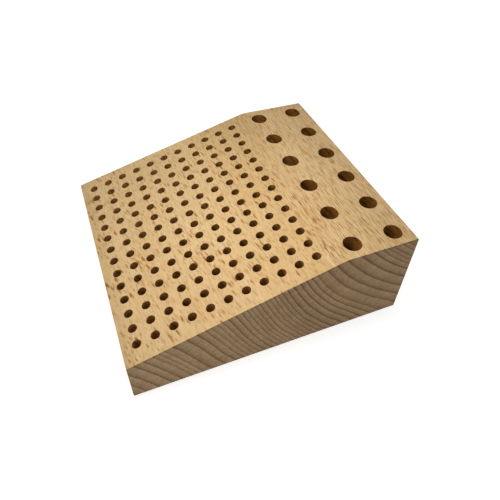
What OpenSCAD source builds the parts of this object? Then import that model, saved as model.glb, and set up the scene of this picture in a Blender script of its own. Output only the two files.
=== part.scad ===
// Ramped beech block that keeps rotary bits and burs upright on a bench.
// Thin shanks stand in the grid of holes on the ramp, thick ones in the two rows on the flat top.
// The block is one piece of solid wood, so the model has one solid.
// +X runs up the ramp to the tall back face, +Y runs along the grain and +Z is up.
// The origin is the centre of the base. All sizes are in millimetres.

/* [Block] */
// Length from the low front face to the tall back face
block_length = 109; // [107:1:130]
// Width along the grain
block_width = 100; // [98:1:140]
// Height of the flat top above the base
block_height = 40; // [34:1:60]
// Height of the low front face
front_height = 18; // [17:0.5:26]
// Length of the flat top, from the ridge to the back face
flat_length = 30; // [30:0.5:34]
// Radius that blends the ramp into the flat top
ridge_radius = 15; // [1:1:15]
// Radius to which the outer edges are sanded
edge_radius = 0.5; // [0.2:0.1:1.2]

/* [Thin holes] */
// Bore of a thin hole, a loose fit on a 3 mm shank
thin_bore = 3.2; // [1.6:0.1:4]
// Depth of a thin hole, from the ramp to the shoulder of its drill point
thin_depth = 14; // [6:0.5:14]
// Number of rows up the ramp
thin_rows = 11; // [1:1:11]
// Number of holes in a row
thin_columns = 14; // [1:1:14]
// Distance from the front face to the first row
thin_front = 5.3; // [4:0.1:6]
// Level distance between neighbours, both in a row and from row to row
thin_pitch = 6.58; // [5.5:0.02:6.7]
// How far the grid sits towards +Y from the middle of the block
thin_shift = 0.4; // [-1:0.1:1]

/* [Thick holes] */
// Bore of a thick hole, a loose fit on a shank of 6 to 6.35 mm
thick_bore = 7; // [3:0.1:7]
// Depth of a thick hole, from the flat top to the shoulder of its drill point
thick_depth = 25; // [10:0.5:28]
// Number of rows on the flat top
thick_rows = 2; // [1:1:2]
// Number of holes in a row
thick_columns = 6; // [1:1:6]
// Distance from the back face to the last row
thick_back = 7.1; // [6:0.1:7.2]
// Distance between neighbours, both in a row and from row to row
thick_pitch = 17.2; // [12:0.1:17.2]
// How far the rows sit towards +Y from the middle of the block
thick_shift = -0.3; // [-1:0.1:1]

/* [Hidden] */
$fn = 64;
// Included angle of the drills' points
point_angle = 118;
// How far a cutting shape runs past the face that it leaves
overrun = 5;
front_x = -block_length / 2;
back_x = block_length / 2;
ridge_x = back_x - flat_length;
ramp_rise = block_height - front_height;
ramp_angle = atan2(ramp_rise, ridge_x - front_x);

function unit(v) = v / norm(v);

// Height of the ramp above the base at a place along X
function ramp_z(x) = front_height + (x - front_x) * tan(ramp_angle);

// Direction of the side that leaves corner i of an outline towards the corner before it or after it
function side_way(points, i, step) =
    let (n = len(points))
    unit(points[(i + n + step) % n] - points[i]);

// Half of the angle between the two sides that meet at corner i of a convex outline
function half_angle(points, i) =
    acos(side_way(points, i, -1) * side_way(points, i, 1)) / 2;

// Where an arc of radius r meets one of the sides of corner i
function arc_end(points, i, step, r) =
    points[i] + side_way(points, i, step) * r / tan(half_angle(points, i));

// Centre of the arc of radius r that rounds corner i
function arc_centre(points, i, r) =
    let (inwards = unit(side_way(points, i, -1) + side_way(points, i, 1)))
    points[i] + inwards * r / sin(half_angle(points, i));

// A convex outline with each corner rounded to its own radius
module rounded_outline(points, radii) {
    corners = [0:len(points) - 1];
    polygon([for (i = corners) each [
        arc_end(points, i, -1, radii[i]),
        arc_end(points, i, 1, radii[i]),
    ]]);
    for (i = corners)
        translate(arc_centre(points, i, radii[i])) circle(r = radii[i]);
}

// A rectangle from one corner to the opposite one, with all corners sanded
module sanded_rectangle(low, high) {
    rounded_outline(
        [low, [high[0], low[1]], high, [low[0], high[1]]],
        [for (i = [0:3]) edge_radius]
    );
}

// The side of the block, extruded along the grain
module side_moulding() {
    side = [
        [front_x, 0],
        [back_x, 0],
        [back_x, block_height],
        [ridge_x, block_height],
        [front_x, front_height],
    ];
    radii = [edge_radius, edge_radius, edge_radius, ridge_radius, edge_radius];
    rotate([90, 0, 0])
        linear_extrude(block_width, center = true) rounded_outline(side, radii);
}

// The plan of the block, extruded upwards, which rounds the four upright edges
module plan_moulding() {
    half = [block_length, block_width] / 2;
    linear_extrude(block_height) sanded_rectangle(-half, half);
}

// A bar along +X from the origin, whose top is at Z = 0 and whose long edges are rounded
module bar(length, depth) {
    rotate([90, 0, 90])
        linear_extrude(length) sanded_rectangle([-block_width / 2, -depth], [block_width / 2, 0]);
}

// The level bar rounds the edges of the base and of the flat top
module level_bar() {
    translate([front_x - overrun, 0, block_height]) bar(block_length + 2 * overrun, block_height);
}

// The sloping bar rounds the two edges of the ramp
module ramp_bar() {
    run = block_length + 2 * overrun;
    translate([front_x, 0, front_height])
        rotate([0, -ramp_angle, 0])
        translate([-2 * overrun, 0, 0])
        bar(run / cos(ramp_angle) + block_height, 2 * block_height);
}

// The block before drilling is what the mouldings have in common
module blank() {
    intersection() {
        side_moulding();
        plan_moulding();
        level_bar();
        ramp_bar();
    }
}

// The space that a drill clears below a mouth at the origin, and a little above it
module drilled(bore, depth) {
    r = bore / 2;
    point = r / tan(point_angle / 2);
    rotate_extrude()
        polygon([[0, -depth - point], [r, -depth], [r, overrun], [0, overrun]]);
}

// The grid of thin holes, all upright, each starting at its own height on the ramp
module thin_holes() {
    for (row = [0:thin_rows - 1], column = [0:thin_columns - 1]) {
        x = front_x + thin_front + row * thin_pitch;
        y = (column - (thin_columns - 1) / 2) * thin_pitch + thin_shift;
        translate([x, y, ramp_z(x)]) drilled(thin_bore, thin_depth);
    }
}

// The rows of thick holes on the flat top, counted from the back
module thick_holes() {
    for (row = [0:thick_rows - 1], column = [0:thick_columns - 1]) {
        x = back_x - thick_back - row * thick_pitch;
        y = (column - (thick_columns - 1) / 2) * thick_pitch + thick_shift;
        translate([x, y, block_height]) drilled(thick_bore, thick_depth);
    }
}

module beech_block() {
    color("burlywood")
        difference() {
            blank();
            thin_holes();
            thick_holes();
        }
}

beech_block();
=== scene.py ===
"""Looks of the ramped beech block for rotary bits: body, holes and wood, with a floor, light and camera."""

import logging
import math
from contextlib import contextmanager
from dataclasses import dataclass
from enum import Enum
from typing import Callable, Iterator, Sequence, Union

import bmesh
import bpy
from mathutils import Euler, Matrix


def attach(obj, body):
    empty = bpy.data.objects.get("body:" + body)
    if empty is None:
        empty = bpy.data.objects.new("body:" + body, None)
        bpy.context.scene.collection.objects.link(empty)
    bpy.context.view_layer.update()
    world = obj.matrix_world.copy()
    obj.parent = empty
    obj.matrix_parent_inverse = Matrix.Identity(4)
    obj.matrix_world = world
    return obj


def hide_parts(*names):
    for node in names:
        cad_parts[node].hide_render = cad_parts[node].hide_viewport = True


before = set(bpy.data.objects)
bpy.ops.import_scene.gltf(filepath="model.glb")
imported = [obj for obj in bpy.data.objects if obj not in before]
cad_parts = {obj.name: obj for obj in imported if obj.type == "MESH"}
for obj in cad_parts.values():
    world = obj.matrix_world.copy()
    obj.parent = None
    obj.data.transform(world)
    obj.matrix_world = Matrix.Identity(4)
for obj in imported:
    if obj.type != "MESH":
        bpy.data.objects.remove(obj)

logging.basicConfig(level=logging.INFO, format="%(name)s: %(message)s")
log = logging.getLogger("bit_block")

Span = tuple[float, float]
Triple = tuple[float, float, float]
Four = tuple[float, float, float, float]
Colour = Four
MM = 0.001
WHITE: Colour = (1.0, 1.0, 1.0, 1.0)
NOISE_MEAN = 0.5


class Surface(Enum):
    """How a face of the wood was left by the maker."""

    SANDED = "sanded"
    DRILLED = "drilled"


class Value:
    """A number that varies over a surface. Arithmetic on it adds Math nodes to its graph."""

    def __init__(self, graph: "Graph", socket: bpy.types.NodeSocket) -> None:
        """Keeps the graph and the socket that gives the number."""
        self.graph = graph
        self.socket = socket

    def _math(self, operation: str, *terms: "Term") -> "Value":
        """Adds one Math node.

        Args:
            operation: the node's operation.
            terms: its inputs in order, numbers or values.

        Returns:
            The node's result.
        """
        sockets = dict(enumerate(terms))
        return self.graph.value("ShaderNodeMath", {"operation": operation}, sockets)

    def __add__(self, other: "Term") -> "Value":
        """The sum of two values."""
        return self._math("ADD", self, other)

    def __radd__(self, other: "Term") -> "Value":
        """The sum of a number and a value."""
        return self._math("ADD", other, self)

    def __sub__(self, other: "Term") -> "Value":
        """The difference of two values."""
        return self._math("SUBTRACT", self, other)

    def __rsub__(self, other: "Term") -> "Value":
        """A number less a value."""
        return self._math("SUBTRACT", other, self)

    def __mul__(self, other: "Term") -> "Value":
        """The product of two values."""
        return self._math("MULTIPLY", self, other)

    def __rmul__(self, other: "Term") -> "Value":
        """The product of a number and a value."""
        return self._math("MULTIPLY", other, self)

    def __truediv__(self, other: "Term") -> "Value":
        """The quotient of two values."""
        return self._math("DIVIDE", self, other)

    def __rtruediv__(self, other: "Term") -> "Value":
        """A number divided by a value."""
        return self._math("DIVIDE", other, self)

    def __pow__(self, other: "Term") -> "Value":
        """A value raised to a power."""
        return self._math("POWER", self, other)

    def __rpow__(self, other: "Term") -> "Value":
        """A number raised to the power of a value."""
        return self._math("POWER", other, self)

    def size(self) -> "Value":
        """The value without its sign."""
        return self._math("ABSOLUTE", self)

    def root(self) -> "Value":
        """The square root."""
        return self._math("SQRT", self)

    def whole(self) -> "Value":
        """The whole number at or below the value."""
        return self._math("FLOOR", self)

    def part(self) -> "Value":
        """What is left above the whole number."""
        return self._math("FRACT", self)

    def angle_from(self, other: "Term") -> "Value":
        """The angle whose sine and cosine go as this value and the other."""
        return self._math("ARCTAN2", self, other)

    def between(self, low: float, high: float) -> "Value":
        """A number that is low where the value is 0 and high where it is 1."""
        return low + self * (high - low)

    def step(self, low: float, high: float) -> "Value":
        """A soft step.

        Args:
            low: where the step is 0.
            high: where it is 1. It may lie below low.

        Returns:
            The step, from 0 to 1.
        """
        turned = low > high
        ends = (high, low) if turned else (low, high)
        sockets = {"Value": self, "From Min": ends[0], "From Max": ends[1]}
        rise = self.graph.value("ShaderNodeMapRange", {"interpolation_type": "SMOOTHSTEP"}, sockets)
        return 1.0 - rise if turned else rise


Term = Union[Value, float]
Feed = Union[Value, bpy.types.NodeSocket, float, int, Sequence[float]]


class Graph:
    """The node tree of one material."""

    def __init__(self, name: str) -> None:
        """Makes the material and its output.

        Args:
            name: the material's name.
        """
        self.material = bpy.data.materials.new(name)
        self.material.use_nodes = True
        self.tree = self.material.node_tree
        self.tree.nodes.clear()
        self.output = self.node("ShaderNodeOutputMaterial")

    def node(self, kind: str, settings: dict | None = None, sockets: dict | None = None) -> bpy.types.Node:
        """Adds a node.

        Args:
            kind: the node's type.
            settings: its own properties. "stops" gives a ramp's stops as (place, colour) pairs.
            sockets: what its inputs are given, by name or number: a number, a vector or a link.

        Returns:
            The node.
        """
        node = self.tree.nodes.new(kind)
        for key, setting in (settings or {}).items():
            if key == "stops":
                self._set_stops(node.color_ramp, setting)
            else:
                setattr(node, key, setting)
        for key, feed in (sockets or {}).items():
            self.feed(node.inputs[key], feed)
        return node

    def _set_stops(self, ramp: bpy.types.ColorRamp, stops: Sequence[tuple[float, Colour]]) -> None:
        """Gives a colour ramp its stops.

        Args:
            ramp: the colour ramp.
            stops: place and colour of each stop, in order of place.
        """
        while len(ramp.elements) > 1:
            ramp.elements.remove(ramp.elements[-1])
        ramp.elements[0].position, ramp.elements[0].color = stops[0]
        for place, colour in stops[1:]:
            ramp.elements.new(place).color = colour

    def feed(self, socket: bpy.types.NodeSocket, feed: Feed) -> None:
        """Gives an input socket a link or a constant.

        Args:
            socket: the input.
            feed: the value or output to link to it, or its constant.
        """
        if isinstance(feed, Value):
            feed = feed.socket
        if isinstance(feed, bpy.types.NodeSocket):
            self.tree.links.new(feed, socket)
        else:
            socket.default_value = feed

    def value(self, kind: str, settings: dict | None = None, sockets: dict | None = None) -> Value:
        """Adds a node and returns its first output as a value."""
        return Value(self, self.node(kind, settings, sockets).outputs[0])

    def parts(self, whole: Feed, kind: str = "ShaderNodeSeparateXYZ") -> list[Value]:
        """The three parts of a place or, with the other kind of node, of a colour."""
        return [Value(self, socket) for socket in self.node(kind, None, {0: whole}).outputs]

    def stretched(self, place: Feed, factors: Triple) -> bpy.types.NodeSocket:
        """A place multiplied by a factor along each axis."""
        return self.node("ShaderNodeVectorMath", {"operation": "MULTIPLY"}, {0: place, 1: factors}).outputs[0]

    def joined(self, x: Term, y: Term, z: Term) -> bpy.types.NodeSocket:
        """Three values as one place."""
        return self.node("ShaderNodeCombineXYZ", None, {0: x, 1: y, 2: z}).outputs[0]

    def blended(self, first: Feed, second: Feed, factor: Term, kind: str = "MIX") -> bpy.types.NodeSocket:
        """A colour between two others.

        Args:
            first: the colour where the factor is 0.
            second: the colour where it is 1.
            factor: how far towards the second it goes.
            kind: the way of blending.

        Returns:
            The blended colour.
        """
        settings = {"data_type": "RGBA", "blend_type": kind}
        return self.node("ShaderNodeMix", settings, {0: factor, 6: first, 7: second}).outputs[2]


@dataclass(frozen=True)
class Grain:
    """A layer of noise: blobs in a millimetre along each axis, how many finer layers, and their strength."""

    per_mm: Triple
    detail: float = 2.0
    roughness: float = 0.5

    def node(self, graph: Graph, place: Feed) -> bpy.types.Node:
        """Adds the noise, read at a place in millimetres.

        Args:
            graph: where its nodes go.
            place: where it is read.

        Returns:
            The noise's node.
        """
        sockets = {"Vector": graph.stretched(place, self.per_mm), "Scale": 1.0,
                   "Detail": self.detail, "Roughness": self.roughness}
        return graph.node("ShaderNodeTexNoise", {"noise_dimensions": "3D"}, sockets)

    def at(self, graph: Graph, place: Feed) -> Value:
        """The noise at a place, from 0 to 1."""
        return Value(graph, self.node(graph, place).outputs["Fac"])


@dataclass(frozen=True)
class Zone:
    """A stretch along one axis where something changes by an amount. It sets in over a span and may end."""

    amount: float
    start: Span
    stop: Span | None = None

    def at(self, place: Value) -> Value:
        """The change at a place along the axis."""
        change = place.step(*self.start) * self.amount
        return change * place.step(*self.stop) if self.stop else change


@dataclass(frozen=True)
class FleckKind:
    """One kind of ray fleck, each of which is a lens in a cell of its own.

    The cells are counted in a millimetre across the rays, along the fibres and along the rays. A fleck
    fills a share of its cell, a share of the cells is spared, and the strength has a least and a most.
    """

    per_mm: Triple
    size: float
    spared: float
    strength: Span
    core: float = 0.35
    spared_edge: float = 0.1
    faintest: float = 0.25
    faintness: float = 1.5

    def at(self, graph: Graph, place: Feed) -> Value:
        """Draws the flecks.

        Args:
            graph: where the nodes go.
            place: place across the rays, along the fibres and along the rays.

        Returns:
            The flecks, from 0 to 1.
        """
        cells = graph.node("ShaderNodeTexVoronoi", {"voronoi_dimensions": "3D", "feature": "F1"},
                           {"Vector": graph.stretched(place, self.per_mm), "Scale": 1.0, "Randomness": 1.0})
        chance, weight, _ = graph.parts(cells.outputs["Color"], "ShaderNodeSeparateColor")
        lens = Value(graph, cells.outputs["Distance"]).step(self.size, self.size * self.core)
        shown = chance.step(self.spared, self.spared + self.spared_edge)
        return lens * shown * (weight ** self.faintness).between(self.faintest, 1.0)


@dataclass(frozen=True)
class GrowthEra:
    """Some years of growth: rings, the width of each in mm, how dark their lines are, how pale the wood."""

    rings: int
    width: float
    line: float
    tone: float


@dataclass(frozen=True)
class Tones:
    """The colours of one surface of the wood, how strong its markings are, and how it takes the light.

    It has painted shade that darkens it with each millimetre towards the back, and painted light that
    makes it lighter close to the near end.
    """

    long_grain: Colour
    pale_grain: Colour
    fleck: Colour
    end_grain: Colour
    late_wood: Colour
    late_line: Colour
    streaks: float
    hatch: float
    pores: float
    ripple: float
    fade: float
    painted_near_light: float
    roughness: float
    gloss: float


@dataclass(frozen=True)
class Spot:
    """A point of the wood: places in mm and, from 0 to 1, the part of the block it is on and how it faces."""

    graph: Graph
    place: Feed
    fibre_place: Feed
    ray_place: Feed
    x: Value
    z: Value
    along: Value
    across: Value
    upward: Value
    near: Value
    close: Value
    level: Value
    end: Value
    upright: Value


@dataclass(frozen=True)
class Figure:
    """The wood's figure at a point: fibres, flecks and blotches, and the ring's late wood, line and tone."""

    fibres: Value
    flecks: Value
    blotch: Value
    late: Value
    line: Value
    tone: Value


@dataclass(frozen=True)
class Beech:
    """Solid beech. The heart of the tree lies beyond the top of the tall back face. Lengths are in mm.

    Growth rings bend round the heart, rays are thin ribbons that run out from it, and both follow fibres that
    climb a little along the block. Two numbers together are a place or size along X and Z, the ends of a soft
    step, or a range.
    """

    # The run of the fibres, from the near end
    near_face: float = -50.0
    fibre_slope: Span = (0.107, 0.098)
    streak_slope: float = -0.07
    streak_bend: float = 0.0006

    # Parts of the block, along X, along Y and by the way that they face
    level_top: Span = (12.5, 24.5)
    near_half: Span = (85.0, 20.0)
    close_by: Span = (45.0, 0.0)
    facing_end: Span = (0.20, 0.60)
    facing_sideways: Span = (0.8, 0.2)

    # Growth rings
    ring_hub: Span = (247.5, 144.1)
    ring_middle: float = 15.0
    ring_units: Span = (50.0, 20.0)
    across_bends: Four = (11.8, -12.8, -21.8, -9.3)
    upward_bends: Four = (1.4, -5.3, -1.5, 0.7)
    wave: Grain = Grain((0.05, 0.012, 0.05), 1.0)
    wave_height: float = 1.4
    shiver: Grain = Grain((0.45, 0.05, 0.45))
    shiver_height: float = 0.7
    ring_lag: float = 0.05
    late_power: float = 1.2
    line_start: Span = (0.66, 0.94)
    line_stop: Span = (1.0, 0.965)
    line_change: Span = (0.9, 1.1)
    tone_change: Span = (0.97, 1.03)
    first_reach: float = 150.0
    eras: tuple[GrowthEra, ...] = tuple(GrowthEra(*years) for years in (
        (2, 11.8, 0.4, 0.91), (1, 7.6, 0.6, 0.92), (1, 10.6, 0.6, 0.94), (2, 6.0, 0.6, 0.96),
        (1, 7.8, 1.0, 0.97), (2, 10.8, 0.7, 0.98), (1, 8.2, 0.8, 0.98), (2, 6.5, 0.4, 0.98),
        (1, 2.9, 1.0, 0.99), (4, 2.9, 0.9, 0.91), (1, 2.1, 0.9, 0.92), (4, 1.65, 0.6, 1.0),
        (1, 2.0, 1.0, 1.02), (1, 1.8, 0.6, 1.03), (2, 1.5, 0.9, 1.03), (1, 2.2, 0.4, 1.03),
        (1, 2.2, 0.9, 1.02), (1, 3.0, 1.0, 1.02), (2, 2.3, 0.2, 1.03), (2, 2.5, 0.5, 1.02),
        (1, 4.0, 0.9, 1.02), (1, 5.6, 0.7, 0.98), (1, 8.0, 0.65, 0.98), (1, 5.6, 0.4, 1.05),
        (2, 3.9, 0.5, 1.05), (2, 7.5, 0.8, 1.03), (2, 11.4, 0.4, 0.98), (7, 10.0, 0.6, 0.98),
    ))

    # Rays and their flecks, which crowd in bands, and the dashes of the flat top
    ray_hub: Span = (90.0, 76.0)
    ray_reach: float = 75.0
    ray_turn: float = 0.5
    crowd: Grain = Grain((0.40, 0.09, 0.05), 1.0)
    crowd_edge: Span = (0.36, 0.64)
    broad_flecks: FleckKind = FleckKind((5.7, 0.21, 0.05), 0.48, 0.30, (0.44, 1.49))
    fine_flecks: FleckKind = FleckKind((11.0, 0.36, 0.08), 0.46, 0.30, (0.52, 1.04))
    dashes: FleckKind = FleckKind((3.4, 0.17, 3.4), 0.50, 0.15, (0.28, 1.53))
    dashes_along: Span = (0.63, 1.30)
    dashes_upright: Span = (1.0, 0.5)
    fleck_overlap: float = 0.2
    bend: Grain = Grain((0.9, 0.5, 0.9))
    ray_bend: Triple = (0.09, 1.6, 0.0)
    fibre_bend: Triple = (0.10, 1.2, 0.10)

    # Brown and pale wood along the fibres; the paling at the back and the front edge is painted sheen and
    # shade
    fibres: Grain = Grain((1.7, 0.22, 1.7), 3.0, 0.65)
    mottle: Grain = Grain((0.30, 0.06, 0.30), 3.0, 0.6)
    mottle_edge: Span = (0.22, 0.78)
    pale_middle: Zone = Zone(0.45, (-40.0, -22.0), (8.0, -8.0))
    pale_middle_edge: Span = (10.0, 40.0)
    pale_top: float = 0.30
    pale_far: float = 0.22
    # painted sheen and shade: the wood turns paler towards the back, where the light falls off
    painted_sheen_back: Zone = Zone(0.55, (34.0, 52.0))
    # painted shade: paler at the front edge, part of the painted shade there
    painted_shade_front: Zone = Zone(1.0, (-34.0, -50.0))
    painted_shade_front_along: Span = (0.75, 0.40)
    brown_close: Zone = Zone(0.4, (-6.0, 2.0))

    # Light and dark wood along the fibres, and painted light and shade from front to back
    blotch: Grain = Grain((0.06, 0.03, 0.06), 1.0)
    # darker in the lowest millimetre of the block
    bottom_darkening: Zone = Zone(0.35, (1.0, 0.0))
    long_shade: float = 0.97
    long_blotch: float = 0.08
    long_late: float = 0.03
    long_line: float = 0.02
    # painted light and shade: darker at the front edge and up the ramp, painted lighter on the flat top, and
    # darker again towards the back
    painted_light_zones: tuple[Zone, ...] = (
        Zone(-0.10, (-46.5, -54.5)),
        Zone(-0.06, (-6.0, 20.0)),
        Zone(0.12, (22.5, 28.5)),
        Zone(-0.045, (30.0, 52.0)),
    )
    # painted light along the ridge: lighter close to the near end and darker at the far end
    ridge: Zone = Zone(0.05, (0.0, 14.0), (40.0, 26.0))
    ridge_far: Span = (60.0, 95.0)
    # painted shade: the far half of the block a little darker
    far_shade: float = 0.012
    long_powers: Span = (1.2, 1.75)

    # Light and dark wood on the ends
    end_shade: float = 1.05
    end_blotch: float = 0.06
    # the end grain darkens with each millimetre along X
    end_darkening_along_x: float = 0.0015
    hatch: Grain = Grain((2.9, 0.5, 0.20), 2.0, 0.6)
    pores: Grain = Grain((3.2, 0.4, 3.2), 2.0, 0.7)
    ripple: Grain = Grain((0.55, 0.3, 1.3), 2.0, 0.6)
    patches: Grain = Grain((0.13, 0.05, 0.13), 2.0, 0.6)
    patch_strength: float = 0.40
    end_powers: Span = (1.25, 2.1)

    # Relief and sheen
    relief: float = 0.06
    relief_strength: float = 0.25
    fibre_relief: float = 0.5
    line_relief: float = 0.6
    fibre_roughness: float = 0.12
    end_roughness: float = 0.1

    @property
    def all_rings(self) -> int:
        """How many rings the tree grew in all its eras."""
        return sum(era.rings for era in self.eras)

    @property
    def all_growth(self) -> float:
        """How far the tree grew outwards in all its eras."""
        return sum(era.rings * era.width for era in self.eras)

    def ring_stops(self) -> list[tuple[float, Colour]]:
        """The growth eras as stops of a ramp.

        Returns:
            Stops whose red is the share of the rings up to there, whose green is how dark the lines are, and
            whose blue is half the tone of the wood.
        """
        growth, rings = 0.0, 0
        stops = [(0.0, (0.0, self.eras[0].line, self.eras[0].tone / 2, 1.0))]
        for era in self.eras:
            growth += era.rings * era.width
            rings += era.rings
            stops.append((growth / self.all_growth, (rings / self.all_rings, era.line, era.tone / 2, 1.0)))
        return stops

    def dress(self, surface: Surface, tones: Tones) -> bpy.types.Material:
        """Makes the material of one surface of the wood.

        Args:
            surface: how the maker left it.
            tones: its colours.

        Returns:
            The material.
        """
        graph = Graph(f"beech_{surface.value}")
        spot = self._spot(graph)
        figure = self._figure(spot)
        long_colour = self._long_colour(spot, figure, tones)
        end_colour = self._end_colour(spot, figure, tones)
        roughness = tones.roughness + figure.fibres * self.fibre_roughness + spot.end * self.end_roughness
        grooves = figure.line * spot.end * self.line_relief
        height = (figure.fibres - figure.flecks) * self.fibre_relief - grooves
        relief = {"Strength": self.relief_strength, "Distance": self.relief * MM, "Height": height}
        bump = graph.node("ShaderNodeBump", None, relief)
        shader = graph.node("ShaderNodeBsdfPrincipled", None, {
            "Base Color": graph.blended(long_colour, end_colour, spot.end),
            "Roughness": roughness,
            "Specular IOR Level": tones.gloss,
            "Normal": bump.outputs["Normal"],
        })
        graph.feed(graph.output.inputs["Surface"], shader.outputs[0])
        log.info("finish %s", graph.material.name)
        return graph.material

    def _spot(self, graph: Graph) -> Spot:
        """Finds where a point of the wood lies and which way its surface faces.

        Args:
            graph: where its nodes go.

        Returns:
            The point.
        """
        coordinates = graph.node("ShaderNodeTexCoord").outputs["Object"]
        place = graph.stretched(coordinates, (1 / MM, 1 / MM, 1 / MM))
        x, y, z = graph.parts(place)
        along = y - self.near_face
        across = x - along * self.fibre_slope[0]
        upward = z - along * self.fibre_slope[1]
        streak = x - along * (self.streak_slope + along * self.streak_bend)
        _, endways, up = graph.parts(graph.node("ShaderNodeNewGeometry").outputs["Normal"])
        return Spot(
            graph=graph,
            place=place,
            fibre_place=graph.joined(streak, along, z),
            ray_place=self._ray_place(graph, across, upward, along),
            x=x,
            z=z,
            along=along,
            across=across,
            upward=upward,
            near=along.step(*self.near_half),
            close=along.step(*self.close_by),
            level=x.step(*self.level_top),
            end=endways.size().step(*self.facing_end),
            upright=up.step(*self.facing_sideways),
        )

    def _ray_place(self, graph: Graph, across: Value, upward: Value, along: Value) -> bpy.types.NodeSocket:
        """Place among the rays.

        Args:
            graph: where its nodes go.
            across: place across the fibres, along X.
            upward: place across the fibres, along Z.
            along: place along the fibres.

        Returns:
            Place across the rays, along the fibres and along the rays.
        """
        east, north = self.ray_hub[0] - across, self.ray_hub[1] - upward
        reach = (east * east + north * north).root()
        turn = north.angle_from(east) - self.ray_turn
        return graph.joined(turn * (reach * self.ray_reach).root(), along, reach)

    def _figure(self, spot: Spot) -> Figure:
        """The figure of the wood.

        Args:
            spot: the point of the wood.

        Returns:
            What its fibres, rays and rings do there.
        """
        late, line, tone = self._rings(spot)
        return Figure(
            fibres=self.fibres.at(spot.graph, spot.fibre_place),
            flecks=self._flecks(spot),
            blotch=self.blotch.at(spot.graph, spot.place),
            late=late,
            line=line,
            tone=tone,
        )

    def _rings(self, spot: Spot) -> tuple[Value, Value, Value]:
        """Late wood, which darkens slowly outwards and stops sharply at the end of each ring.

        Args:
            spot: the point of the wood.

        Returns:
            The slow change to late wood and the dark line at its end, each from 0 to about 1, and the ring's
            tone.
        """
        graph = spot.graph
        wave = (self.wave.at(graph, spot.place) - NOISE_MEAN) * self.wave_height
        shiver = (self.shiver.at(graph, spot.place) - NOISE_MEAN) * self.shiver_height
        growth = self._growth(spot.across, spot.upward) + (wave + shiver) - self.first_reach
        ramp = graph.node("ShaderNodeValToRGB", {"stops": self.ring_stops()}, {0: growth / self.all_growth})
        share, darkness, half_tone = graph.parts(ramp.outputs["Color"], "ShaderNodeSeparateColor")
        count = share * self.all_rings - self.ring_lag
        age = count.part()
        chance = graph.value("ShaderNodeTexWhiteNoise", {"noise_dimensions": "1D"}, {"W": count.whole()})
        line = age.step(*self.line_start) * age.step(*self.line_stop)
        line = line * darkness * chance.between(*self.line_change)
        return age ** self.late_power, line, half_tone * 2.0 * chance.between(*self.tone_change)

    def _growth(self, across: Value, upward: Value) -> Value:
        """How far out in the tree a place lies. A ring is where it stays the same.

        Args:
            across: place across the fibres, along X.
            upward: place across the fibres, along Z.

        Returns:
            The distance from a far hub, bent as the rings of this block are.
        """
        east, north = across - self.ring_hub[0], upward - self.ring_hub[1]
        u, v = across / self.ring_units[0], (upward - self.ring_middle) / self.ring_units[1]
        a, b = self.across_bends, self.upward_bends
        bent_across = u * u * (a[0] + u * a[1] + v * a[2] + v * v * a[3])
        bent_upward = v * v * (b[0] + u * b[1] + v * b[2] + u * v * b[3])
        return (east * east + north * north).root() + bent_across + bent_upward

    def _flecks(self, spot: Spot) -> Value:
        """The cut ends of the rays: broad and fine ones in bands, and slim dashes where the top lies flat.

        Args:
            spot: the point of the wood.

        Returns:
            How much a ray darkens the wood, from 0 to 1.
        """
        graph = spot.graph
        crowd = self.crowd.at(graph, spot.ray_place).step(*self.crowd_edge)
        level = spot.level * spot.near.between(*self.dashes_along)
        level = level * spot.upright.between(*self.dashes_upright)
        rays = self._bent(spot, spot.ray_place, self.ray_bend)
        streaks = self._bent(spot, spot.fibre_place, self.fibre_bend)
        broad = self.broad_flecks.at(graph, rays) * crowd.between(*self.broad_flecks.strength)
        fine = self.fine_flecks.at(graph, rays) * crowd.between(*self.fine_flecks.strength)
        dashes = self.dashes.at(graph, streaks) * level.between(*self.dashes.strength)
        flecks = broad + fine + dashes
        return flecks - flecks * flecks * self.fleck_overlap

    def _bent(self, spot: Spot, place: Feed, by: Triple) -> bpy.types.NodeSocket:
        """A place moved a little by noise, so that what is drawn there is less regular.

        Args:
            spot: the point of the wood, where the noise is read.
            place: the place to be moved.
            by: how far it may move along each axis.

        Returns:
            The moved place.
        """
        graph = spot.graph
        noise = self.bend.node(graph, spot.place).outputs["Color"]
        offset = tuple(-NOISE_MEAN * size for size in by)
        push = graph.node("ShaderNodeVectorMath", {"operation": "MULTIPLY_ADD"}, {0: noise, 1: by, 2: offset})
        moved = graph.node("ShaderNodeVectorMath", {"operation": "ADD"}, {0: place, 1: push.outputs[0]})
        return moved.outputs[0]

    def _long_colour(self, spot: Spot, figure: Figure, tones: Tones) -> bpy.types.NodeSocket:
        """The colour of wood cut along its fibres, with painted light and shade over the block.

        Args:
            spot: the point of the wood.
            figure: its figure there.
            tones: its colours.

        Returns:
            The colour.
        """
        graph, x = spot.graph, spot.x
        pale = self.pale_middle.at(x) * spot.along.step(*self.pale_middle_edge)
        pale = pale + self.mottle.at(graph, spot.fibre_place).step(*self.mottle_edge)
        pale = pale + spot.level * self.pale_top + spot.near.between(self.pale_far, 0.0)
        # painted sheen and shade: paler towards the back and the front edge
        pale = pale + self.painted_sheen_back.at(x) + self.painted_shade_front.at(x) * spot.near.between(*self.painted_shade_front_along)
        pale = pale - self.brown_close.at(x) * (1.0 - spot.level) * spot.close
        colour = graph.blended(tones.long_grain, tones.pale_grain, pale)
        colour = graph.blended(colour, tones.fleck, figure.flecks)
        shade = self.long_shade + (figure.fibres - NOISE_MEAN) * tones.streaks
        shade = shade + figure.blotch * self.long_blotch
        # the lowest millimetre of the block is darker
        shade = shade - figure.late * self.long_late - figure.line * self.long_line - self.bottom_darkening.at(spot.z)
        # painted light and shade along X
        for zone in self.painted_light_zones:
            shade = shade + zone.at(x)
        # painted light along the ridge: lighter near, darker far
        shade = shade + self.ridge.at(x) * (spot.close - spot.along.step(*self.ridge_far))
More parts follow.
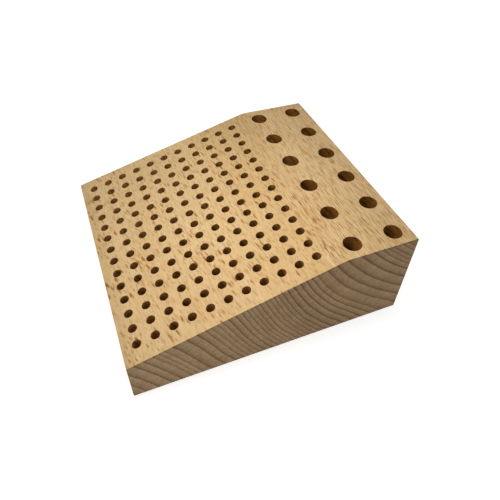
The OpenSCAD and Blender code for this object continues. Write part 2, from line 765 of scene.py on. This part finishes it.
        # painted shade: darker over the far half of the block, and in the holes darker towards the back
        shade = shade - spot.near.between(self.far_shade, 0.0) - x * tones.fade
        # painted light in the holes: lighter close to the near end
        shade = shade * spot.close.between(1.0, 1.0 + tones.painted_near_light)
        return self._shaded(graph, colour, shade, self.long_powers)

    def _end_colour(self, spot: Spot, figure: Figure, tones: Tones) -> bpy.types.NodeSocket:
        """The colour of wood cut across its fibres, with painted light and shade in the holes.

        Args:
            spot: the point of the wood.
            figure: its figure there.
            tones: its colours.

        Returns:
            The colour.
        """
        graph = spot.graph
        colour = graph.blended(tones.end_grain, tones.late_wood, figure.late)
        colour = graph.blended(colour, tones.late_line, figure.line)
        # the lowest millimetre of the block is darker
        shade = self.end_shade + figure.blotch * self.end_blotch - self.bottom_darkening.at(spot.z)
        # darker with each millimetre along X; in the holes this also adds painted shade towards the back
        shade = shade - spot.x * (self.end_darkening_along_x + tones.fade)
        markings = (
            (self.hatch, spot.ray_place, tones.hatch),
            (self.pores, spot.place, tones.pores),
            (self.ripple, spot.ray_place, tones.ripple),
            (self.patches, spot.place, self.patch_strength),
        )
        for grain, place, strength in markings:
            shade = shade + (grain.at(graph, place) - NOISE_MEAN) * strength
        # painted light in the holes: lighter close to the near end
        shade = shade * figure.tone * spot.close.between(1.0, 1.0 + tones.painted_near_light)
        return self._shaded(graph, colour, shade, self.end_powers)

    def _shaded(self, graph: Graph, colour: Feed, shade: Value, powers: Span) -> bpy.types.NodeSocket:
        """A colour made lighter or darker. Wood that is darker is also browner.

        Args:
            graph: where its nodes go.
            colour: the colour where the shade is 1.
            shade: what its red is multiplied by.
            powers: the powers of the shade that its green and blue are multiplied by.

        Returns:
            The shaded colour.
        """
        green, blue = powers
        return graph.blended(colour, graph.joined(shade, shade ** green, shade ** blue), 1.0, "MULTIPLY")


class Bench:
    """The bench on which meshes are shaped with Blender's own operators."""

    @staticmethod
    def clear() -> None:
        """Leaves edit mode and selects nothing."""
        if bpy.context.object and bpy.context.object.mode != "OBJECT":
            bpy.ops.object.mode_set(mode="OBJECT")
        bpy.ops.object.select_all(action="DESELECT")

    @staticmethod
    def take(piece: bpy.types.Object) -> None:
        """Selects one object alone and makes it active.

        Args:
            piece: the object.
        """
        Bench.clear()
        piece.select_set(True)
        bpy.context.view_layer.objects.active = piece

    @staticmethod
    @contextmanager
    def shaping(piece: bpy.types.Object) -> Iterator[bmesh.types.BMesh]:
        """Edit mode on one object, with nothing selected at the start.

        Args:
            piece: the object.

        Yields:
            Its mesh in edit mode, for picking faces and edges by place.
        """
        Bench.take(piece)
        bpy.ops.object.mode_set(mode="EDIT")
        bpy.ops.mesh.select_mode(type="EDGE")
        bpy.ops.mesh.select_all(action="DESELECT")
        yield bmesh.from_edit_mesh(piece.data)
        bpy.ops.object.mode_set(mode="OBJECT")

    @staticmethod
    def pick_faces(mesh: bmesh.types.BMesh, test: Callable[[bmesh.types.BMFace], bool]) -> None:
        """Selects the faces that pass a test.

        Args:
            mesh: the mesh in edit mode.
            test: says whether a face is wanted.
        """
        bpy.ops.mesh.select_mode(type="FACE")
        for face in filter(test, mesh.faces):
            face.select_set(True)
        mesh.select_flush_mode()

    @staticmethod
    def pick_edges(mesh: bmesh.types.BMesh, test: Callable[[bmesh.types.BMEdge], bool]) -> None:
        """Selects the edges that pass a test.

        Args:
            mesh: the mesh in edit mode.
            test: says whether an edge is wanted.
        """
        for edge in filter(test, mesh.edges):
            edge.select_set(True)
        mesh.select_flush_mode()

    @staticmethod
    def modify(piece: bpy.types.Object, kind: str, **settings: object) -> None:
        """Adds a modifier to an object and applies it.

        Args:
            piece: the object.
            kind: the modifier's type.
            settings: its properties.
        """
        Bench.take(piece)
        modifier = piece.modifiers.new(kind.lower(), kind)
        for key, setting in settings.items():
            setattr(modifier, key, setting)
        bpy.ops.object.modifier_apply(modifier=modifier.name)


@dataclass(frozen=True)
class HoleSet:
    """A regular set of blind holes, drilled straight down. Lengths are in metres."""

    name: str
    radius: float
    depth: float
    first_mouth: Triple
    row_step: Triple
    rows: int
    column_step: Triple
    columns: int
    sides: int
    headroom: float = 5 * MM
    point_angle: float = math.radians(118)
    facing_down: float = -0.9

    def drills(self) -> bpy.types.Object:
        """Models one drill with its point and copies it to the place of every hole.

        Returns:
            All the drills as one object.
        """
        Bench.clear()
        x, y, z = self.first_mouth
        length = self.depth + self.headroom
        middle = (x, y, z + self.headroom - length / 2)
        bpy.ops.mesh.primitive_cylinder_add(vertices=self.sides, radius=self.radius, depth=length,
                                            location=middle)
        drill = bpy.context.object
        drill.name = f"{self.name}_drills"
        bpy.ops.object.transform_apply(location=True, rotation=True, scale=True)
        point = self.radius / math.tan(self.point_angle / 2)
        with Bench.shaping(drill) as mesh:
            Bench.pick_faces(mesh, lambda face: face.normal.z < self.facing_down)
            bpy.ops.mesh.extrude_region_move(TRANSFORM_OT_translate={"value": (0, 0, -point)})
            bpy.ops.mesh.merge(type="CENTER")
        for step, count in ((self.column_step, self.columns), (self.row_step, self.rows)):
            Bench.modify(drill, "ARRAY", count=count, use_relative_offset=False,
                         use_constant_offset=True, constant_offset_displace=step)
        return drill


@dataclass
class BitBlock:
    """The block: a beech body with a ramp, a flat top and two sets of blind holes. Lengths are in metres."""

    length: float = 109 * MM
    width: float = 100 * MM
    height: float = 40 * MM
    front_height: float = 18 * MM
    flat_length: float = 30 * MM
    ridge_radius: float = 15 * MM
    ridge_facets: int = 10
    edge_radius: float = 0.5 * MM
    edge_facets: int = 4
    edge_angle: float = math.radians(40)
    rim_radius: float = 0.12 * MM
    rim_angle: float = math.radians(50)
    round_profile: float = 0.5
    thin_radius: float = 1.6 * MM
    thin_depth: float = 14 * MM
    thin_front: float = 5.3 * MM
    thin_pitch: float = 6.58 * MM
    thin_shift: float = 0.4 * MM
    thin_rows: int = 11
    thin_columns: int = 14
    thin_sides: int = 24
    thick_radius: float = 3.5 * MM
    thick_depth: float = 25 * MM
    thick_back: float = 7.1 * MM
    thick_pitch: float = 17.2 * MM
    thick_shift: float = -0.3 * MM
    thick_rows: int = 2
    thick_columns: int = 6
    thick_sides: int = 64
    close_enough: float = 0.01 * MM
    doubles_within: float = 0.001 * MM
    flat_within: float = math.radians(1)
    big_face_weight: int = 80
    inner_share: float = 0.49
    wood_under_holes: float = 2 * MM
    rim_clearance: float = 1.2
    wood: Beech = Beech()
    sanded: Tones = Tones(
        long_grain=(0.714, 0.458, 0.192, 1), pale_grain=(0.734, 0.506, 0.245, 1),
        fleck=(0.345, 0.118, 0.002, 1), end_grain=(0.262, 0.1625, 0.0715, 1),
        late_wood=(0.177, 0.094, 0.0235, 1), late_line=(0.078, 0.033, 0.001, 1),
        streaks=0.47, hatch=1.3, pores=1.4, ripple=0.75,
        fade=0.0, painted_near_light=0.0, roughness=0.50, gloss=0.3)
    # The drilled walls carry painted light and shade: lighter close to the near end, darker towards the back.
    drilled: Tones = Tones(
        long_grain=(0.315, 0.135, 0.024, 1), pale_grain=(0.29, 0.118, 0.021, 1),
        fleck=(0.13, 0.05, 0.009, 1), end_grain=(0.315, 0.135, 0.023, 1),
        late_wood=(0.24, 0.10, 0.020, 1), late_line=(0.10, 0.04, 0.008, 1),
        streaks=1.0, hatch=1.3, pores=0.4, ripple=0.2,
        fade=0.0034, painted_near_light=0.34, roughness=0.80, gloss=0.08)

    @property
    def ridge_x(self) -> float:
        """Where the ramp meets the flat top."""
        return self.length / 2 - self.flat_length

    @property
    def slope(self) -> float:
        """How far the ramp rises in each metre along X."""
        return (self.height - self.front_height) / (self.length - self.flat_length)

    def top(self, x: float) -> float:
        """Height of the top at a place along X, before the ridge is rounded."""
        return min(self.front_height + (x + self.length / 2) * self.slope, self.height)

    def hole_sets(self) -> tuple[HoleSet, HoleSet]:
        """Works out where the holes are.

        Returns:
            The thin holes on the ramp and the thick holes on the flat top.
        """
        thin_x = self.thin_front - self.length / 2
        thin_y = self.thin_shift - (self.thin_columns - 1) / 2 * self.thin_pitch
        thin = HoleSet("thin", self.thin_radius, self.thin_depth, (thin_x, thin_y, self.top(thin_x)),
                       (self.thin_pitch, 0, self.thin_pitch * self.slope), self.thin_rows,
                       (0, self.thin_pitch, 0), self.thin_columns, self.thin_sides)
        thick_x = self.length / 2 - self.thick_back
        thick_y = self.thick_shift - (self.thick_columns - 1) / 2 * self.thick_pitch
        thick = HoleSet("thick", self.thick_radius, self.thick_depth, (thick_x, thick_y, self.height),
                        (-self.thick_pitch, 0, 0), self.thick_rows,
                        (0, self.thick_pitch, 0), self.thick_columns, self.thick_sides)
        return thin, thick

    def build(self) -> bpy.types.Object:
        """Models the block, replaces the plain solid with it and dresses it.

        Returns:
            The block.
        """
        block = self._sawn()
        self._round_ridge(block)
        self._sand_edges(block)
        self._drill(block)
        self._ease_mouths(block)
        self._finish_mesh(block)
        self.dress(block)
        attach(block, "root")
        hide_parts("beech_block")
        return block

    def _sawn(self) -> bpy.types.Object:
        """Makes a cuboid and saws off the wedge over the ramp.

        Returns:
            The sawn block.
        """
        Bench.clear()
        bpy.ops.mesh.primitive_cube_add(size=1, location=(0, 0, self.height / 2),
                                        scale=(self.length, self.width, self.height))
        block = bpy.context.object
        block.name = "drilled_block"
        bpy.ops.object.transform_apply(location=True, rotation=True, scale=True)
        with Bench.shaping(block):
            bpy.ops.mesh.select_all(action="SELECT")
            bpy.ops.mesh.bisect(plane_co=(self.ridge_x, 0, self.height), plane_no=(-self.slope, 0, 1),
                                use_fill=True, clear_outer=True)
        return block

    def _round_ridge(self, block: bpy.types.Object) -> None:
        """Blends the ramp into the flat top.

        Args:
            block: the sawn block.
        """
        setback = self.ridge_radius * math.tan(math.atan(self.slope) / 2)
        with Bench.shaping(block) as mesh:
            Bench.pick_edges(mesh, lambda edge: all(map(self._on_ridge, edge.verts)))
            bpy.ops.mesh.bevel(offset_type="OFFSET", offset=setback, segments=self.ridge_facets,
                               profile=self.round_profile)

    def _on_ridge(self, vertex: bmesh.types.BMVert) -> bool:
        """Does this vertex lie on the ridge?"""
        across = abs(vertex.co.x - self.ridge_x)
        return across < self.close_enough and vertex.co.z > self.height - self.close_enough

    def _sand_edges(self, block: bpy.types.Object) -> None:
        """Rounds every sharp edge of the body.

        Args:
            block: the block before it is drilled.
        """
        with Bench.shaping(block):
            bpy.ops.mesh.edges_select_sharp(sharpness=self.edge_angle)
            bpy.ops.mesh.bevel(offset_type="OFFSET", offset=self.edge_radius, segments=self.edge_facets,
                               profile=self.round_profile)

    def _drill(self, block: bpy.types.Object) -> None:
        """Drills both sets of holes.

        Args:
            block: the sanded block.
        """
        for holes in self.hole_sets():
            drills = holes.drills()
            Bench.modify(block, "BOOLEAN", operation="DIFFERENCE", object=drills, solver="EXACT")
            bpy.data.objects.remove(drills)
            log.info("drilled %d %s holes", holes.rows * holes.columns, holes.name)

    def _ease_mouths(self, block: bpy.types.Object) -> None:
        """Takes the sharpness off the holes' mouths.

        Args:
            block: the drilled block.
        """
        with Bench.shaping(block):
            bpy.ops.mesh.edges_select_sharp(sharpness=self.rim_angle)
            bpy.ops.mesh.bevel(offset_type="OFFSET", offset=self.rim_radius, segments=1,
                               profile=self.round_profile, clamp_overlap=True)

    def _finish_mesh(self, block: bpy.types.Object) -> None:
        """Merges doubles, turns faces outwards, cuts up the drilled planes and smooths the round surfaces.

        Args:
            block: the drilled block.
        """
        with Bench.shaping(block):
            bpy.ops.mesh.select_all(action="SELECT")
            bpy.ops.mesh.remove_doubles(threshold=self.doubles_within)
            bpy.ops.mesh.normals_make_consistent(inside=False)
        with Bench.shaping(block) as mesh:
            Bench.pick_faces(mesh, lambda face: len(face.verts) > 4)
            bpy.ops.mesh.quads_convert_to_tris(quad_method="BEAUTY", ngon_method="BEAUTY")
            bpy.ops.mesh.beautify_fill(angle_limit=self.flat_within)
        Bench.take(block)
        bpy.ops.object.shade_smooth_by_angle(angle=self.rim_angle)
        Bench.modify(block, "WEIGHTED_NORMAL", mode="FACE_AREA", weight=self.big_face_weight, keep_sharp=True)

    def dress(self, block: bpy.types.Object) -> None:
        """Gives the body its sanded finish and the holes' walls their drilled one.

        Args:
            block: the finished mesh.
        """
        block.data.materials.clear()
        block.data.materials.append(self.wood.dress(Surface.SANDED, self.sanded))
        block.data.materials.append(self.wood.dress(Surface.DRILLED, self.drilled))
        with Bench.shaping(block) as mesh:
            Bench.pick_faces(mesh, self._in_a_hole)
            block.active_material_index = 1
            bpy.ops.object.material_slot_assign()

    def _in_a_hole(self, face: bmesh.types.BMFace) -> bool:
        """Tells the holes' walls and ends from the outside of the block.

        Args:
            face: a face of the finished mesh.

        Returns:
            Whether it is in a hole.
        """
        middle = face.calc_center_median()
        inside = max(abs(middle.x) / self.length, abs(middle.y) / self.width) < self.inner_share
        mouth = self.top(middle.x) - self.rim_radius * self.rim_clearance
        return inside and self.wood_under_holes < middle.z < mouth


@dataclass
class Studio:
    """A plain pale floor, soft light from above and the camera. Lengths are in metres."""

    floor_size: float = 6.0
    floor_tone: Colour = (0.75, 0.75, 0.75, 1)
    floor_glow: float = 0.72
    floor_roughness: float = 0.9
    floor_gloss: float = 0.1
    wall_radius: float = 2.9
    wall_height: float = 3.0
    wall_sides: int = 96
    wall_glow: float = 1.3
    sky_strength: float = 0.40
    softbox_place: Triple = (-29 * MM, -18 * MM, 152 * MM)
    softbox_size: float = 70 * MM
    softbox_power: float = 0.112
    camera_place: Triple = (-50.663 * MM, -137.887 * MM, 163.564 * MM)
    camera_turn: Triple = (45.2739, -2.6373, -23.0157)
    camera_nearest: float = 10 * MM
    sensor_width: float = 36.0
    lens: float = 34.917
    shift: Span = (-0.0266, -0.0432)

    def build(self) -> None:
        """Makes the floor, the backdrop, the light and the camera."""
        self._floor()
        self._backdrop()
        self._light()
        self._camera()

    def _floor(self) -> None:
        """A wide floor under the block."""
        Bench.clear()
        bpy.ops.mesh.primitive_plane_add(size=self.floor_size)
        floor = bpy.context.object
        floor.name = "floor"
        graph = Graph("pale_floor")
        shader = graph.node("ShaderNodeBsdfPrincipled", None, {
            "Base Color": self.floor_tone,
            "Roughness": self.floor_roughness,
            "Specular IOR Level": self.floor_gloss,
            "Emission Color": WHITE,
            "Emission Strength": self.floor_glow,
        })
        graph.feed(graph.output.inputs["Surface"], shader.outputs[0])
        floor.data.materials.append(graph.material)

    def _backdrop(self) -> None:
        """A pale wall round the floor. Only the camera sees it, so it sheds no light on the block."""
        Bench.clear()
        bpy.ops.mesh.primitive_cylinder_add(vertices=self.wall_sides, radius=self.wall_radius,
                                            depth=self.wall_height, end_fill_type="NOTHING",
                                            location=(0, 0, self.wall_height / 2))
        wall = bpy.context.object
        wall.name = "backdrop"
        bpy.ops.object.transform_apply(location=True, rotation=True, scale=True)
        wall.visible_diffuse = wall.visible_glossy = wall.visible_shadow = False
        graph = Graph("pale_backdrop")
        shader = graph.node("ShaderNodeEmission", None, {"Color": WHITE, "Strength": self.wall_glow})
        graph.feed(graph.output.inputs["Surface"], shader.outputs[0])
        wall.data.materials.append(graph.material)

    def _light(self) -> None:
        """A softbox overhead and an even, dim surround."""
        Bench.clear()
        bpy.ops.object.light_add(type="AREA", location=self.softbox_place)
        softbox = bpy.context.object
        softbox.name = "softbox"
        softbox.data.shape = "DISK"
        softbox.data.size = self.softbox_size
        softbox.data.energy = self.softbox_power
        softbox.visible_camera = False
        world = bpy.data.worlds.new("surround")
        world.use_nodes = True
        background = world.node_tree.nodes["Background"]
        background.inputs["Color"].default_value = WHITE
        background.inputs["Strength"].default_value = self.sky_strength
        bpy.context.scene.world = world
        bpy.context.scene.view_settings.view_transform = "Standard"

    def _camera(self) -> None:
        """A camera at the photograph's viewpoint."""
        Bench.clear()
        turn = Euler([math.radians(angle) for angle in self.camera_turn], "XYZ")
        bpy.ops.object.camera_add(location=self.camera_place, rotation=turn)
        camera = bpy.context.object
        camera.data.sensor_width = self.sensor_width
        camera.data.lens = self.lens
        camera.data.shift_x, camera.data.shift_y = self.shift
        camera.data.clip_start = self.camera_nearest
        bpy.context.scene.camera = camera


def main() -> None:
    """Builds the block and the studio."""
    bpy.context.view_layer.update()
    block = BitBlock().build()
    log.info("piece %s: %d faces", block.name, len(block.data.polygons))
    Studio().build()


if __name__ == "__main__":
    main()
